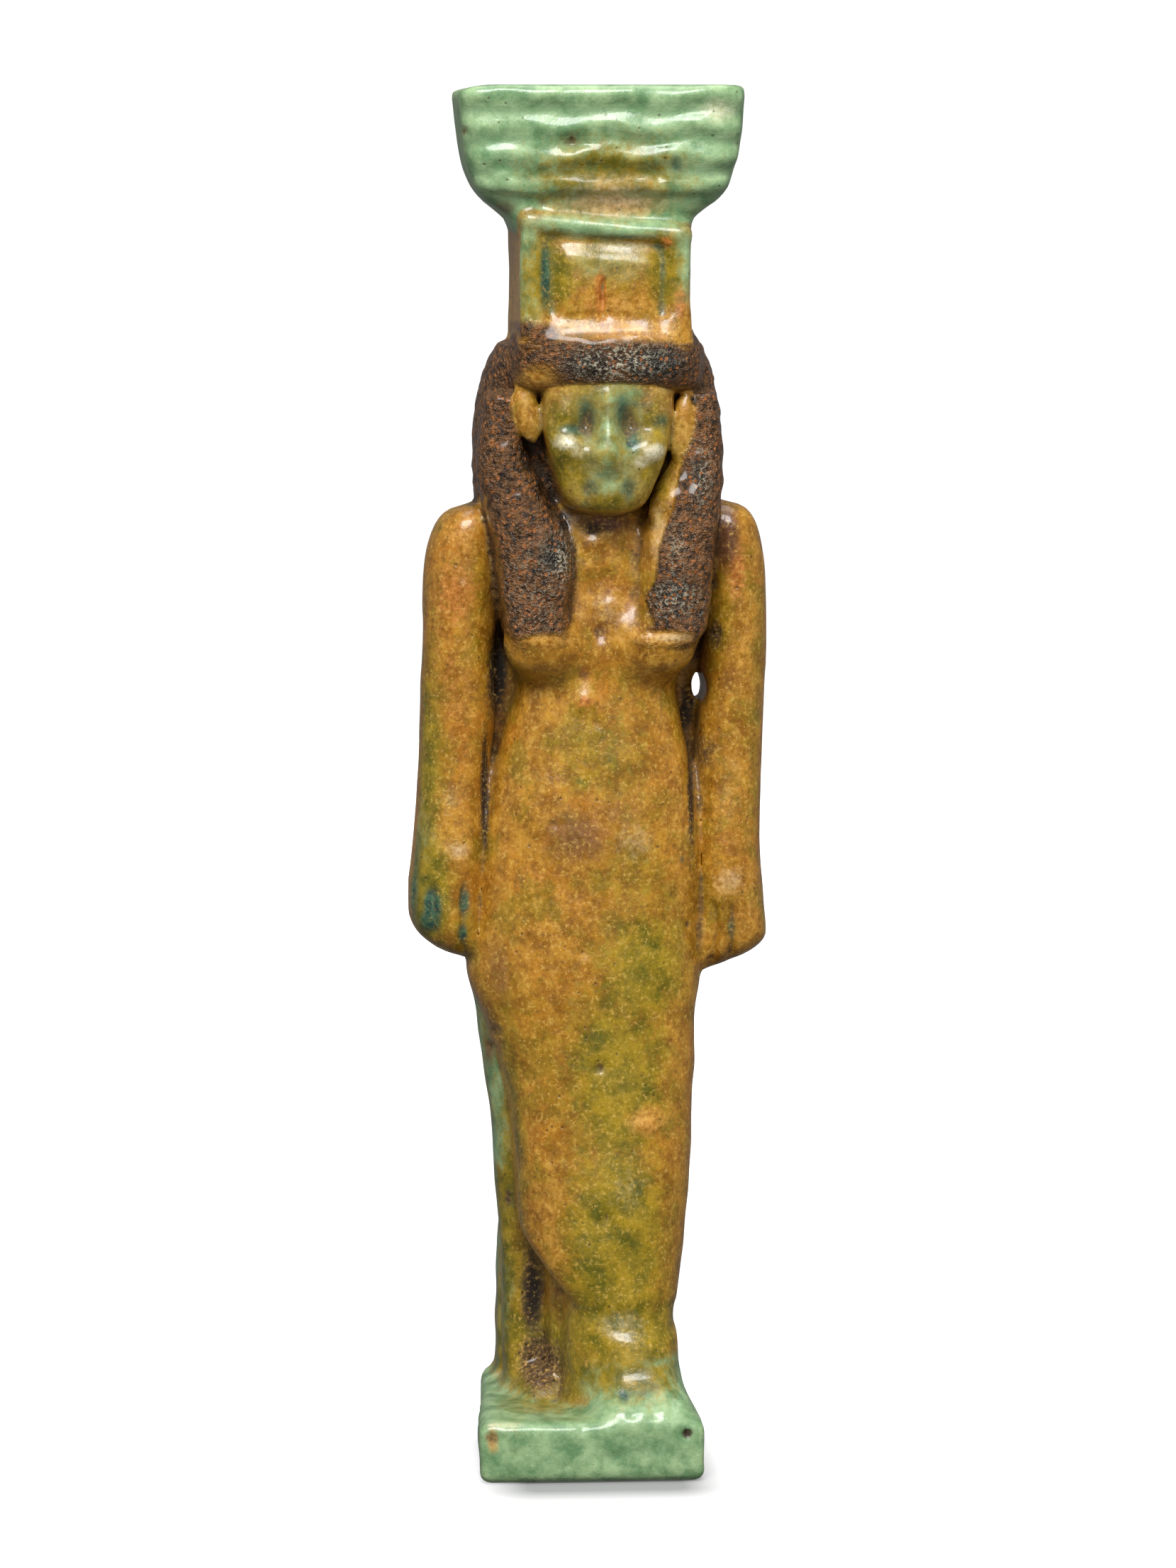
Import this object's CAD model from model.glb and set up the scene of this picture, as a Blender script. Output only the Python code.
# %% [markdown]
# # A small faience goddess
# The real object is a 70 mm figurine of Egyptian faience: crushed quartz pressed in one mould, then
# fired with a coloured glaze. She walks in a tight dress, with a long wig, a slab pillar behind her and
# her name sign on her head, a basket on a house. The glaze has aged from sea-green to ochre, and the wig
# has a dark, gritty crust.
#
# The CAD model is the fixed frame. It has one solid, `figurine`, and this script replaces it with a
# softer, more finely carved mesh of the same sizes.

# %% Load the frame
import math

import bpy
import numpy as np
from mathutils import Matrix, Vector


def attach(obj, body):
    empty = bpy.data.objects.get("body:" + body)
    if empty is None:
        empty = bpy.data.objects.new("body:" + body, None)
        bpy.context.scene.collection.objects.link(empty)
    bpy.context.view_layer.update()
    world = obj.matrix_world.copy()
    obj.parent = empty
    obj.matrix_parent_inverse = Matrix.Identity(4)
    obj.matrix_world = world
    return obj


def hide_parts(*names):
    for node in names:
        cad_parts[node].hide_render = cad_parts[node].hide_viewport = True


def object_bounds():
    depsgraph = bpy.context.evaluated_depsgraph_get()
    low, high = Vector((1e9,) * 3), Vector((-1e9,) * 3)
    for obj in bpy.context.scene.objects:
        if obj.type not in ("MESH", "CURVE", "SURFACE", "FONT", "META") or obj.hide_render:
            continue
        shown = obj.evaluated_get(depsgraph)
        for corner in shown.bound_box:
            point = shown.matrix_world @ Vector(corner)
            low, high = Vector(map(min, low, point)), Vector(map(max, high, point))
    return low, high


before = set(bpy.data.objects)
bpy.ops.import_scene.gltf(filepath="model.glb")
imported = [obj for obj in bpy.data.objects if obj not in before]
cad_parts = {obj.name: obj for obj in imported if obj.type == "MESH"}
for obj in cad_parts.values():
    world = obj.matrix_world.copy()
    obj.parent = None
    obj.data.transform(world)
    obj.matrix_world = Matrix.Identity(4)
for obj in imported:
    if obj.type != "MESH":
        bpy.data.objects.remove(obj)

import openvdb

cad_box = [list(corner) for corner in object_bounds()]
print("CAD box in mm:", [[round(value * 1000, 2) for value in corner] for corner in cad_box])

# %% [markdown]
# ## Camera, floor and light
# The photograph was taken from nearly straight ahead with a long lens, on white, with one wide soft
# light above and in front. The floor is a shallow bowl, so that every view of it fades into the same
# pale ground. It glows white, apart from a dim oblong under the plinth, so that only the contact shadow
# shows on it.

# %% Camera
MM = 0.001
PHOTO_LONG_SIDE = 2212
FOCAL_PIXELS = 8832
AZIMUTH = math.radians(-4)
PITCH = math.radians(-6.1)
DISTANCE = 317 * MM
EYE_HEIGHT = 68.5 * MM
ASIDE = 0.27 * MM

camera_data = bpy.data.cameras.new("camera")
camera_data.lens = FOCAL_PIXELS / PHOTO_LONG_SIDE * camera_data.sensor_width
camera_data.clip_start = 0.01
camera = bpy.data.objects.new("camera", camera_data)
camera.location = (
    math.sin(AZIMUTH) * DISTANCE + math.cos(AZIMUTH) * ASIDE,
    -math.cos(AZIMUTH) * DISTANCE + math.sin(AZIMUTH) * ASIDE,
    EYE_HEIGHT,
)
camera.rotation_euler = (math.pi / 2 + PITCH, 0, AZIMUTH)
bpy.context.collection.objects.link(camera)
bpy.context.scene.camera = camera
print("lens in mm:", round(camera_data.lens, 1))


# %% Two small helpers: a colour, and a node with its settings and links
def linear(hex_code):
    """An sRGB hex colour as the linear red, green, blue and alpha that a socket takes."""
    parts = [int(hex_code[i : i + 2], 16) / 255 for i in (1, 3, 5)]
    return [p / 12.92 if p <= 0.04045 else ((p + 0.055) / 1.055) ** 2.4 for p in parts] + [1]


def add(tree, kind, inputs=None, **settings):
    """A new node. A value given to an input is set on it, and a socket or a node is linked to it."""
    node = tree.nodes.new(kind)
    for name, value in settings.items():
        setattr(node, name, value)
    for key, value in (inputs or {}).items():
        if isinstance(value, bpy.types.Node):
            value = value.outputs[0]
        if isinstance(value, bpy.types.NodeSocket):
            tree.links.new(value, node.inputs[key])
        else:
            node.inputs[key].default_value = value
    return node


def mesh_object(name, vertices, faces):
    mesh = bpy.data.meshes.new(name)
    mesh.from_pydata(vertices, [], faces)
    piece = bpy.data.objects.new(name, mesh)
    bpy.context.collection.objects.link(piece)
    return piece


# %% Floor
FLOOR_SIDES = 96
# (radius, height) in metres, from the middle of the bowl to its rim
floor_profile = [(0.001, 0), (0.5, 0), (0.7, 0), (0.85, 0.02), (1.0, 0.09), (1.1, 0.22), (1.15, 0.5)]
rings = []
for radius, height in floor_profile:
    turns = [2 * math.pi * side / FLOOR_SIDES for side in range(FLOOR_SIDES)]
    rings += [(radius * math.cos(turn), radius * math.sin(turn), height) for turn in turns]
floor_faces = [tuple(range(FLOOR_SIDES))]
for ring in range(len(floor_profile) - 1):
    for side in range(FLOOR_SIDES):
        a, b = ring * FLOOR_SIDES + side, ring * FLOOR_SIDES + (side + 1) % FLOOR_SIDES
        floor_faces.append((a, a + FLOOR_SIDES, b + FLOOR_SIDES, b))
floor = mesh_object("floor", rings, floor_faces)
floor.data.shade_smooth()
print("floor faces:", len(floor_faces))

# %% Its pale paper, which dims towards the plinth
DIM_MIDDLE = (0.6 * MM, -3 * MM, 0)
DIM_HALF = (3.4 * MM, 5.5 * MM, 0)
DIM_END = 0.5 * MM
GLOW_START = 4 * MM
LEAST_GLOW = 0.08
paper = bpy.data.materials.new("pale_paper")
paper.use_nodes = True
tree = paper.node_tree
paper_shader = tree.nodes["Principled BSDF"]
paper_shader.inputs["Base Color"].default_value = linear("#8C8C8C")
paper_shader.inputs["Roughness"].default_value = 0.8
paper_shader.inputs["Emission Color"].default_value = linear("#FFFFFF")
paper_place = add(tree, "ShaderNodeTexCoord")
moved = add(
    tree, "ShaderNodeVectorMath", {0: paper_place.outputs["Object"], 1: DIM_MIDDLE}, operation="SUBTRACT"
)
folded = add(tree, "ShaderNodeVectorMath", {0: moved}, operation="ABSOLUTE")
past = add(tree, "ShaderNodeVectorMath", {0: folded, 1: DIM_HALF}, operation="SUBTRACT")
past = add(tree, "ShaderNodeVectorMath", {0: past, 1: (0, 0, 0)}, operation="MAXIMUM")
away = add(tree, "ShaderNodeVectorMath", {0: past}, operation="LENGTH")
glow = add(
    tree,
    "ShaderNodeMapRange",
    {0: away.outputs["Value"], 1: DIM_END, 2: GLOW_START, 3: LEAST_GLOW, 4: 1.0},
)
tree.links.new(glow.outputs[0], paper_shader.inputs["Emission Strength"])
floor.data.materials.append(paper)
floor.visible_glossy = False
floor.visible_diffuse = False

# %% Light
LAMP_TARGET = (0, 0, 36)
MIRRORED_LAMPS = ("key", "top")
ROOM_LIGHT = 0.13
# name: (place in mm, width and height in mm, watts)
LAMPS = {
    "key": ((-60, -290, 330), (240, 180), 2.2),
    "front": ((150, -340, 110), (200, 240), 0.32),
    "top": ((20, 60, 400), (300, 300), 0.7),
    "left": ((-320, -40, 120), (220, 300), 0.26),
    "right": ((320, -40, 130), (220, 300), 0.34),
    "back": ((80, 340, 90), (260, 260), 0.9),
}
for name, (place, (width, height), watts) in LAMPS.items():
    lamp_data = bpy.data.lights.new(name, "AREA")
    lamp_data.shape = "RECTANGLE"
    lamp_data.size = width * MM
    lamp_data.size_y = height * MM
    lamp_data.energy = watts
    lamp = bpy.data.objects.new(name, lamp_data)
    lamp.location = [value * MM for value in place]
    aim = np.array(LAMP_TARGET) - place
    flat = math.hypot(aim[0], aim[1])
    lamp.rotation_euler = (math.atan2(flat, -aim[2]), 0, math.atan2(-aim[0], aim[1]))
    lamp.visible_glossy = name in MIRRORED_LAMPS
    bpy.context.collection.objects.link(lamp)
world = bpy.data.worlds.new("white_room")
world.use_nodes = True
world.node_tree.nodes["Background"].inputs["Color"].default_value = linear("#FFFFFF")
world.node_tree.nodes["Background"].inputs["Strength"].default_value = ROOM_LIGHT
bpy.context.scene.world = world
bpy.context.scene.view_settings.view_transform = "Standard"
print("lamps:", ", ".join(LAMPS))

# %% [markdown]
# ## The form
# A moulded figure has no sharp joins: glaze fills every corner. So each form is written as a distance,
# below zero inside it, and two forms are joined with a small fillet where they meet. The distances are
# worked out on a grid of 0.2 mm, and Blender's volume library turns the zero surface into a mesh.
#
# Most forms are a column: a stack of rounded rectangles from a table, with a smooth curve between its
# rows.


# %% Distances of plain forms, in millimetres
def between(rows, height, item):
    """A column of the table at any height. The curve never swings past its rows."""
    known, value = rows[:, 0], rows[:, item]
    i = np.clip(np.searchsorted(known, height) - 1, 0, len(known) - 2)
    gap, rise = known[i + 1] - known[i], value[i + 1] - value[i]

    def slope(a, b):
        steep = (value[b] - value[a]) / (known[b] - known[a]) * gap
        held = np.sign(rise) * np.minimum(np.abs(steep), 3 * np.abs(rise))
        return np.where(steep * rise > 0, held, 0)

    t = np.clip((height - known[i]) / gap, 0, 1)
    start = t * (1 - t) ** 2 * slope(np.maximum(i - 1, 0), i + 1)
    end = t * t * (1 - t) * slope(i, np.minimum(i + 2, len(known) - 1))
    return value[i] + t * t * (3 - 2 * t) * rise + start - end


def join(a, b, fillet):
    near = np.maximum(fillet - np.abs(a - b), 0) / fillet
    return np.minimum(a, b) - near * near * fillet / 4


def meet(a, b, fillet):
    return -join(-a, -b, fillet)


def column(rows, ends=0.35):
    """Rows of [height, left, right, front, back, squareness], as (distance, box)."""
    rows = np.array(rows, float)

    def distance(x, y, z):
        left, right, front, back, square = (between(rows, z, item) for item in range(1, 6))
        half_width, half_depth = (right - left) / 2, (back - front) / 2
        across = np.abs(x - (left + right) / 2) / half_width
        deep = np.abs(y - (front + back) / 2) / half_depth
        reach = np.maximum((across**square + deep**square) ** (1 / square), 0.05)
        steep = np.hypot(across ** (square - 1) / half_width, deep ** (square - 1) / half_depth)
        wall = (reach - 1) / np.maximum(steep * reach ** (1 - square), 0.02)
        return meet(wall, np.maximum(rows[0, 0] - z, z - rows[-1, 0]), ends)

    low = [rows[:, 1].min(), rows[:, 3].min(), rows[0, 0]]
    return distance, (low, [rows[:, 2].max(), rows[:, 4].max(), rows[-1, 0]])


def block(low, high, rounding):
    """A box with rounded edges, as (distance, box)."""
    middle, half = (np.add(low, high) / 2, np.subtract(high, low) / 2)

    def distance(x, y, z):
        past = [np.abs(v - m) - h + rounding for v, m, h in zip((x, y, z), middle, half)]
        outside = np.sqrt(sum(np.maximum(p, 0) ** 2 for p in past))
        inside = np.minimum(np.maximum(np.maximum(past[0], past[1]), past[2]), 0)
        return outside + inside - rounding

    return distance, (low, high)


def ball(middle, size, lean=0):
    """An egg shape of three sizes that may lean sideways, as (distance, box)."""
    half = np.array(size) / 2

    def distance(x, y, z):
        x, y, z = x - middle[0], y - middle[1], z - middle[2]
        x, z = x * math.cos(lean) - z * math.sin(lean), x * math.sin(lean) + z * math.cos(lean)
        reach = np.sqrt((x / half[0]) ** 2 + (y / half[1]) ** 2 + (z / half[2]) ** 2)
        steep = np.sqrt((x / half[0] ** 2) ** 2 + (y / half[1] ** 2) ** 2 + (z / half[2] ** 2) ** 2)
        return reach * (reach - 1) / np.maximum(steep, 0.05)

    return distance, (middle - half.max(), middle + half.max())


# %% [markdown]
# ## Sizes
# The sizes are those of the CAD model. The figure is drawn on the old canon of 18 squares of 3 units,
# and at this height a unit is one millimetre. Heights in its tables count from the plinth's top, and
# depths from the figure's own axis.

# %% Sizes
PLINTH_HEIGHT = 3.1
PLINTH_DEPTH = 15
PLINTH_FRONT_WIDTH = 11.5
PLINTH_BACK_WIDTH = 9.6
PILLAR_BACK = 7.0
PILLAR_FRONT = 3.6
BODY_AXIS = 0.4
WIG_TOP = 57.1
HOUSE_MIDDLE = 0.9
HOUSE_WIDTH = 8.5
HOUSE_FRONT = -4.5
HOUSE_BACK = 3.7
HOUSE_FLOOR = 58.0
HOUSE_TOP = 63.4
HOUSE_DRAFT = 0.3
LINTEL_SLOPE = 0.09
BASKET_MIDDLE = 0.7
BASKET_TOP_WIDTH = 14.4
BASKET_DEPTH = 8.8
BASKET_HEIGHT = 6.6
CROWN_TOP = 70.0


def on_figure(rows):
    return [[h + PLINTH_HEIGHT, a, b, f + BODY_AXIS, r + BODY_AXIS, s] for h, a, b, f, r, s in rows]


def on_axis(x, y, z):
    return np.array((x, y + BODY_AXIS, z + PLINTH_HEIGHT))


# %% Body and limbs
dress_column = column(
    on_figure(
        [
            [5.2, -1.4, 4.65, -5.15, 2.4, 2.4],
            [8.2, -3.25, 5.05, -5.0, 2.8, 2.5],
            [12.5, -3.6, 5.5, -4.7, 3.2, 2.5],
            [16.4, -4.1, 5.6, -4.4, 3.6, 2.4],
            [19.5, -5.0, 5.7, -4.2, 3.6, 2.4],
            [22.0, -5.9, 6.05, -4.1, 3.6, 2.3],
            [25.0, -5.6, 6.1, -3.9, 3.6, 2.3],
            [31.0, -4.9, 5.85, -3.7, 3.5, 2.3],
            [35.0, -3.8, 5.0, -3.3, 3.4, 2.3],
            [36.6, -3.4, 4.75, -3.2, 3.4, 2.3],
            [38.6, -3.9, 5.6, -3.4, 3.4, 2.5],
            [42.0, -4.6, 6.3, -3.2, 3.4, 2.8],
            [44.4, -5.0, 6.7, -2.8, 3.4, 3.0],
            [45.6, -4.4, 5.8, -2.2, 3.2, 2.6],
        ]
    )
)
# a point of the slanting hem, and how far it turns from level, in radians
HEM_PLACE = on_axis(-0.8, 0, 5.5)
HEM_TURN = 0.92


def dress_distance(x, y, z):
    """The dress column without what lies below its slanting hem."""
    along = (x - HEM_PLACE[0]) * math.sin(HEM_TURN) + (z - HEM_PLACE[2]) * math.cos(HEM_TURN)
    inward = (HEM_PLACE[0] - x) * math.cos(HEM_TURN) + (z - HEM_PLACE[2]) * math.sin(HEM_TURN)
    return meet(dress_column[0](x, y, z), -np.maximum(along, -inward), 0.3)


def arm_rows(rows):
    return column(on_figure(rows), ends=0.6)


right_arm = arm_rows(
    [
        [22.7, -6.3, -5.2, -0.9, 2.0, 2.2],
        [23.3, -7.5, -5.1, -1.9, 2.8, 2.4],
        [24.4, -8.6, -5.1, -2.4, 3.2, 2.6],
        [25.8, -8.85, -5.1, -2.5, 3.2, 2.6],
        [28.0, -8.65, -5.0, -2.5, 3.2, 2.5],
        [33.0, -8.3, -4.6, -2.0, 3.1, 2.3],
        [39.0, -8.1, -4.4, -2.0, 3.2, 2.3],
        [43.0, -7.9, -4.2, -2.1, 3.3, 2.3],
        [44.6, -7.5, -4.3, -2.0, 3.2, 2.3],
        [45.4, -6.9, -4.5, -1.6, 3.0, 2.2],
        [45.8, -6.1, -4.9, -0.8, 2.2, 2.0],
    ]
)
left_arm = arm_rows(
    [
        [21.9, 5.5, 6.4, -0.9, 2.0, 2.2],
        [22.8, 5.5, 8.5, -1.9, 2.8, 2.4],
        [23.8, 5.6, 9.4, -2.3, 3.2, 2.6],
        [25.4, 5.7, 9.3, -2.4, 3.2, 2.4],
        [28.0, 5.75, 9.15, -2.3, 3.2, 2.4],
        [33.0, 5.75, 9.2, -1.9, 3.1, 2.3],
        [39.0, 6.2, 9.4, -2.0, 3.2, 2.3],
        [42.8, 6.2, 9.35, -2.1, 3.3, 2.3],
        [44.7, 6.0, 8.9, -2.1, 3.3, 2.3],
        [45.6, 5.9, 8.25, -1.6, 3.0, 2.2],
        [46.0, 6.1, 7.3, -0.8, 2.2, 2.0],
    ]
)
calf = column(
    on_figure(
        [
            [-0.6, -3.9, -1.1, 0.2, 4.0, 3.0],
            [8.0, -4.1, -1.0, 0.3, 4.0, 2.8],
            [13.0, -4.5, -1.0, -0.6, 4.0, 2.6],
            [18.0, -5.1, 0.0, -1.2, 3.8, 2.5],
            [22.5, -5.9, 1.0, -1.6, 3.6, 2.4],
        ]
    )
)
ankle = column(on_figure([[-0.6, -1.95, -0.6, -1.6, 2, 2.2], [9, -1.8, -0.4, -1.5, 2.2, 2.2]]))
front_leg = column(
    on_figure(
        [
            [-0.6, -1.15, 4.3, -5.1, 1.6, 2.6],
            [3.6, -1.1, 4.45, -5.15, 1.6, 2.6],
            [8.0, -0.8, 4.7, -4.8, 1.6, 2.5],
            [12.0, 0.0, 4.4, -4.0, 1.6, 2.4],
        ]
    )
)
front_foot = column(
    on_figure(
        [
            [-0.8, 0.25, 5.15, -7.65, 0.4, 4],
            [0.3, 0.25, 5.15, -7.65, 0.4, 4],
            [0.7, 0.35, 5.05, -7.4, 0.4, 4],
            [1.2, 0.5, 4.85, -6.65, 0.4, 3.4],
            [2.0, 0.6, 4.6, -5.9, 0.4, 3],
            [3.4, 0.6, 4.4, -5.3, 0.4, 3],
        ]
    )
)
print("body forms: dress, two arms, two legs, front foot")

# %% Wig, face and ears
cap = column(
    on_figure(
        [
            [41.5, -3.8, 5.2, -0.4, 4.6, 3.0],
            [44.5, -5.1, 6.2, -1.2, 4.9, 3.0],
            [47.0, -5.5, 6.75, -1.9, 5.0, 2.9],
            [49.5, -5.5, 7.0, -2.6, 5.0, 2.8],
            [51.5, -5.25, 6.85, -3.3, 5.0, 2.8],
            [53.0, -4.8, 6.5, -3.9, 4.9, 2.9],
            [54.0, -4.25, 6.1, -4.0, 4.6, 3.2],
        ]
    )
)
roll = column(
    on_figure(
        [
            [51.5, -3.5, 5.5, -3.8, 2.0, 3.2],
            [52.0, -3.8, 5.9, -4.9, 2.0, 3.2],
            [52.9, -3.9, 6.0, -5.35, 2.0, 3.2],
            [54.0, -3.8, 5.8, -5.3, 2.0, 3.2],
            [54.5, -3.6, 5.5, -4.9, 2.0, 3.2],
            [54.8, -3.3, 5.2, -4.2, 2.0, 3.2],
        ]
    )
)
right_lappet = column(
    on_figure(
        [
            [38.7, -3.7, -0.85, -4.2, 0.0, 3.2],
            [39.2, -3.9, -0.7, -4.5, 0.0, 3.2],
            [39.8, -4.15, -0.85, -4.4, 0.0, 3.2],
            [42.9, -4.5, -0.65, -4.5, 0.0, 3.0],
            [44.7, -4.85, -1.1, -4.4, 0.0, 2.8],
            [46.5, -5.3, -2.0, -4.2, 0.0, 2.6],
            [48.4, -5.45, -2.9, -3.8, 0.0, 2.6],
            [51.5, -5.15, -3.4, -3.4, 0.0, 2.6],
        ]
    )
)
left_lappet = column(
    on_figure(
        [
            [38.7, 2.2, 5.4, -4.2, 0.0, 3.2],
            [39.2, 2.1, 5.8, -4.5, 0.0, 3.2],
            [39.8, 2.5, 6.2, -4.4, 0.0, 3.2],
            [42.6, 2.6, 6.45, -4.5, 0.0, 3.0],
            [45.9, 3.2, 6.75, -4.3, 0.0, 2.8],
            [48.0, 4.1, 6.9, -3.9, 0.0, 2.6],
            [51.5, 4.8, 6.7, -3.4, 0.0, 2.6],
        ]
    )
)
face = column(
    on_figure(
        [
            [45.45, 0.0, 1.9, -4.3, -1.0, 2.4],
            [45.75, -0.85, 2.6, -4.9, -1.0, 2.8],
            [46.2, -1.25, 3.0, -5.2, -1.0, 3.0],
            [47.2, -1.6, 3.45, -5.35, -1.0, 3.0],
            [48.4, -1.95, 3.95, -5.35, -1.0, 3.0],
            [50.0, -2.2, 4.2, -5.3, -1.0, 3.0],
            [52.2, -2.3, 4.35, -5.1, -1.0, 3.0],
        ]
    )
)
print("head forms: cap, roll, two lappets, face")


# %% The house
HOUSE_LEFT = HOUSE_MIDDLE - HOUSE_WIDTH / 2
HOUSE_RIGHT = HOUSE_MIDDLE + HOUSE_WIDTH / 2
PANEL_DEPTH = 0.42
house_block, house_box = block(
    (HOUSE_LEFT, HOUSE_FRONT, WIG_TOP - 0.3), (HOUSE_RIGHT, HOUSE_BACK, HOUSE_TOP + 0.9), 0.5
)
panel_cut, _ = block(
    (HOUSE_LEFT + 1.05, HOUSE_FRONT - 2, HOUSE_FLOOR - 1.2),
    (HOUSE_RIGHT - 1.05, HOUSE_FRONT + PANEL_DEPTH, HOUSE_TOP - 1.15),
    0.6,
)
door_cut, _ = block(
    (HOUSE_MIDDLE - 0.5, HOUSE_FRONT, HOUSE_FLOOR - 0.5),
    (HOUSE_MIDDLE + 0.15, HOUSE_FRONT + PANEL_DEPTH + 0.25, HOUSE_FLOOR + 2.6),
    0.15,
)


def house_distance(x, y, z):
    """The walls lean out a little towards the back, and the lintel slopes."""
    draft = HOUSE_DRAFT * (y - HOUSE_FRONT) / (HOUSE_BACK - HOUSE_FRONT)
    half = HOUSE_WIDTH / 2
    walls = house_block(HOUSE_MIDDLE + (x - HOUSE_MIDDLE) * half / (half + draft), y, z)
    top = z - (HOUSE_TOP + 0.4 - LINTEL_SLOPE * (x - HOUSE_LEFT))
    walls = meet(walls, top, 0.4)
    walls = meet(walls, -panel_cut(x, y, z + LINTEL_SLOPE * (x - HOUSE_MIDDLE)), 0.6)
    return meet(walls, -door_cut(x, y, z), 0.3)


ledge = column(
    [
        [WIG_TOP - 0.8, HOUSE_LEFT + 0.5, HOUSE_RIGHT - 0.3, HOUSE_FRONT - 0.1, 3, 6],
        [WIG_TOP + 0.45, HOUSE_LEFT + 0.5, HOUSE_RIGHT - 0.3, HOUSE_FRONT - 0.15, 3, 6],
        [HOUSE_FLOOR + 0.15, HOUSE_LEFT + 0.75, HOUSE_RIGHT - 0.5, HOUSE_FRONT + 0.02, 3, 6],
    ],
    ends=0.3,
)
print("house from", round(HOUSE_LEFT, 2), "to", round(HOUSE_RIGHT, 2), "mm")

# %% The basket
BASKET_SQUARENESS = 8
CORNER_DROP = 0.35
basket_rows = []
# share of the height, share of the spread past the house, share by which front and back are drawn in
for rise, spread, tuck in [
    (-0.1, 0.03, 0.16),
    (0, 0.16, 0.15),
    (0.07, 0.34, 0.13),
    (0.14, 0.55, 0.1),
    (0.25, 0.73, 0.05),
    (0.45, 0.88, 0.02),
    (0.7, 0.96, 0.01),
    (1, 1.01, 0),
]:
    row_half = HOUSE_WIDTH / 2 + spread * (BASKET_TOP_WIDTH - HOUSE_WIDTH) / 2
    row_back = HOUSE_BACK - tuck * BASKET_DEPTH * 0.4
    row_front = HOUSE_BACK - BASKET_DEPTH + tuck * BASKET_DEPTH * 0.8
    row_height = HOUSE_TOP + rise * BASKET_HEIGHT
    sides = (BASKET_MIDDLE - row_half, BASKET_MIDDLE + row_half)
    basket_rows.append([row_height, *sides, row_front, row_back, BASKET_SQUARENESS])
basket_column, basket_box = column(basket_rows, ends=0.35)


def basket_distance(x, y, z):
    """Its top left corner is worn a little low."""
    corner = np.clip((BASKET_MIDDLE - 4.3 - x) / 2.9, 0, 1)
    high = np.clip((z - HOUSE_TOP) / BASKET_HEIGHT, 0, 1)
    return basket_column(x, y, z + CORNER_DROP * corner**2 * high**3)


print("basket rows:", len(basket_rows))


# %% Plinth and pillar
plinth_block, plinth_box = block(
    (-PLINTH_FRONT_WIDTH / 2, -PLINTH_DEPTH / 2, 0),
    (PLINTH_FRONT_WIDTH / 2, PLINTH_DEPTH / 2, PLINTH_HEIGHT),
    0.6,
)


def plinth_distance(x, y, z):
    """The block narrows towards the back."""
    share = (y + PLINTH_DEPTH / 2) / PLINTH_DEPTH
    width = PLINTH_FRONT_WIDTH + (PLINTH_BACK_WIDTH - PLINTH_FRONT_WIDTH) * share
    return plinth_block(x * PLINTH_FRONT_WIDTH / width, y, z)


pillar = column(
    [
        [PLINTH_HEIGHT - 0.8, -4.2, 4.2, PILLAR_FRONT, PILLAR_BACK, 9],
        [HOUSE_TOP + 0.8, BASKET_MIDDLE - 3.5, BASKET_MIDDLE + 3.5, PILLAR_FRONT, PILLAR_BACK - 0.4, 9],
    ]
)
webs = column(on_figure([[23.5, -7.2, 7.4, 1.4, 3.9, 5], [44.5, -6.6, 7.8, 1.4, 3.9, 5]]))
neck = column(on_figure([[42.5, -1.6, 3.0, -3.2, 3.4, 2.2], [47.5, -1.2, 2.6, -3.4, 3.4, 2.2]]))
print("pillar from", PILLAR_FRONT, "to", PILLAR_BACK, "mm behind the middle")

# %% [markdown]
# ## Joining the forms
# Each row below is a form and the fillet with which it joins those before it: wide where flesh runs into
# flesh, narrow where the carver cut one thing against another, as at the edge of the face.

# %% Forms and fillets
FORMS = {
    "dress": ((dress_distance, dress_column[1]), 0.1),
    "right_breast": (ball(on_axis(-2.15, -2.6, 38.9), (4.1, 3.5, 3.6)), 1.0),
    "left_breast": (ball(on_axis(3.6, -2.6, 38.9), (4.1, 3.5, 3.6)), 1.0),
    "neck": (neck, 0.8),
    "webs": (webs, 0.5),
    "right_arm": (right_arm, 0.35),
    "left_arm": (left_arm, 0.35),
    "calf": (calf, 0.25),
    "ankle": (ankle, 0.5),
    "back_foot": (ball(on_axis(-1.95, 0.1, 0.3), (3.2, 4.8, 2.3)), 0.6),
    "front_leg": (front_leg, 0.25),
    "front_foot": (front_foot, 1.2),
    "pillar": (pillar, 0.3),
    "plinth": ((plinth_distance, plinth_box), 0.9),
    "cap": (cap, 0.3),
    "roll": (roll, 0.35),
    "right_lappet": (right_lappet, 0.3),
    "left_lappet": (left_lappet, 0.3),
    "face": (face, 0.12),
    "right_ear": (ball(on_axis(-3.0, -3.4, 50.6), (1.3, 1.0, 3.2), -0.2), 0.3),
    "left_ear": (ball(on_axis(4.8, -3.4, 49.9), (1.1, 1.0, 3.6), 0.16), 0.3),
    "house": ((house_distance, (house_box[0], np.add(house_box[1], (0.3, 0, 0)))), 0.35),
    "ledge": (ledge, 0.9),
    "basket": ((basket_distance, basket_box), 0.45),
}
print("forms:", len(FORMS))

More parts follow.
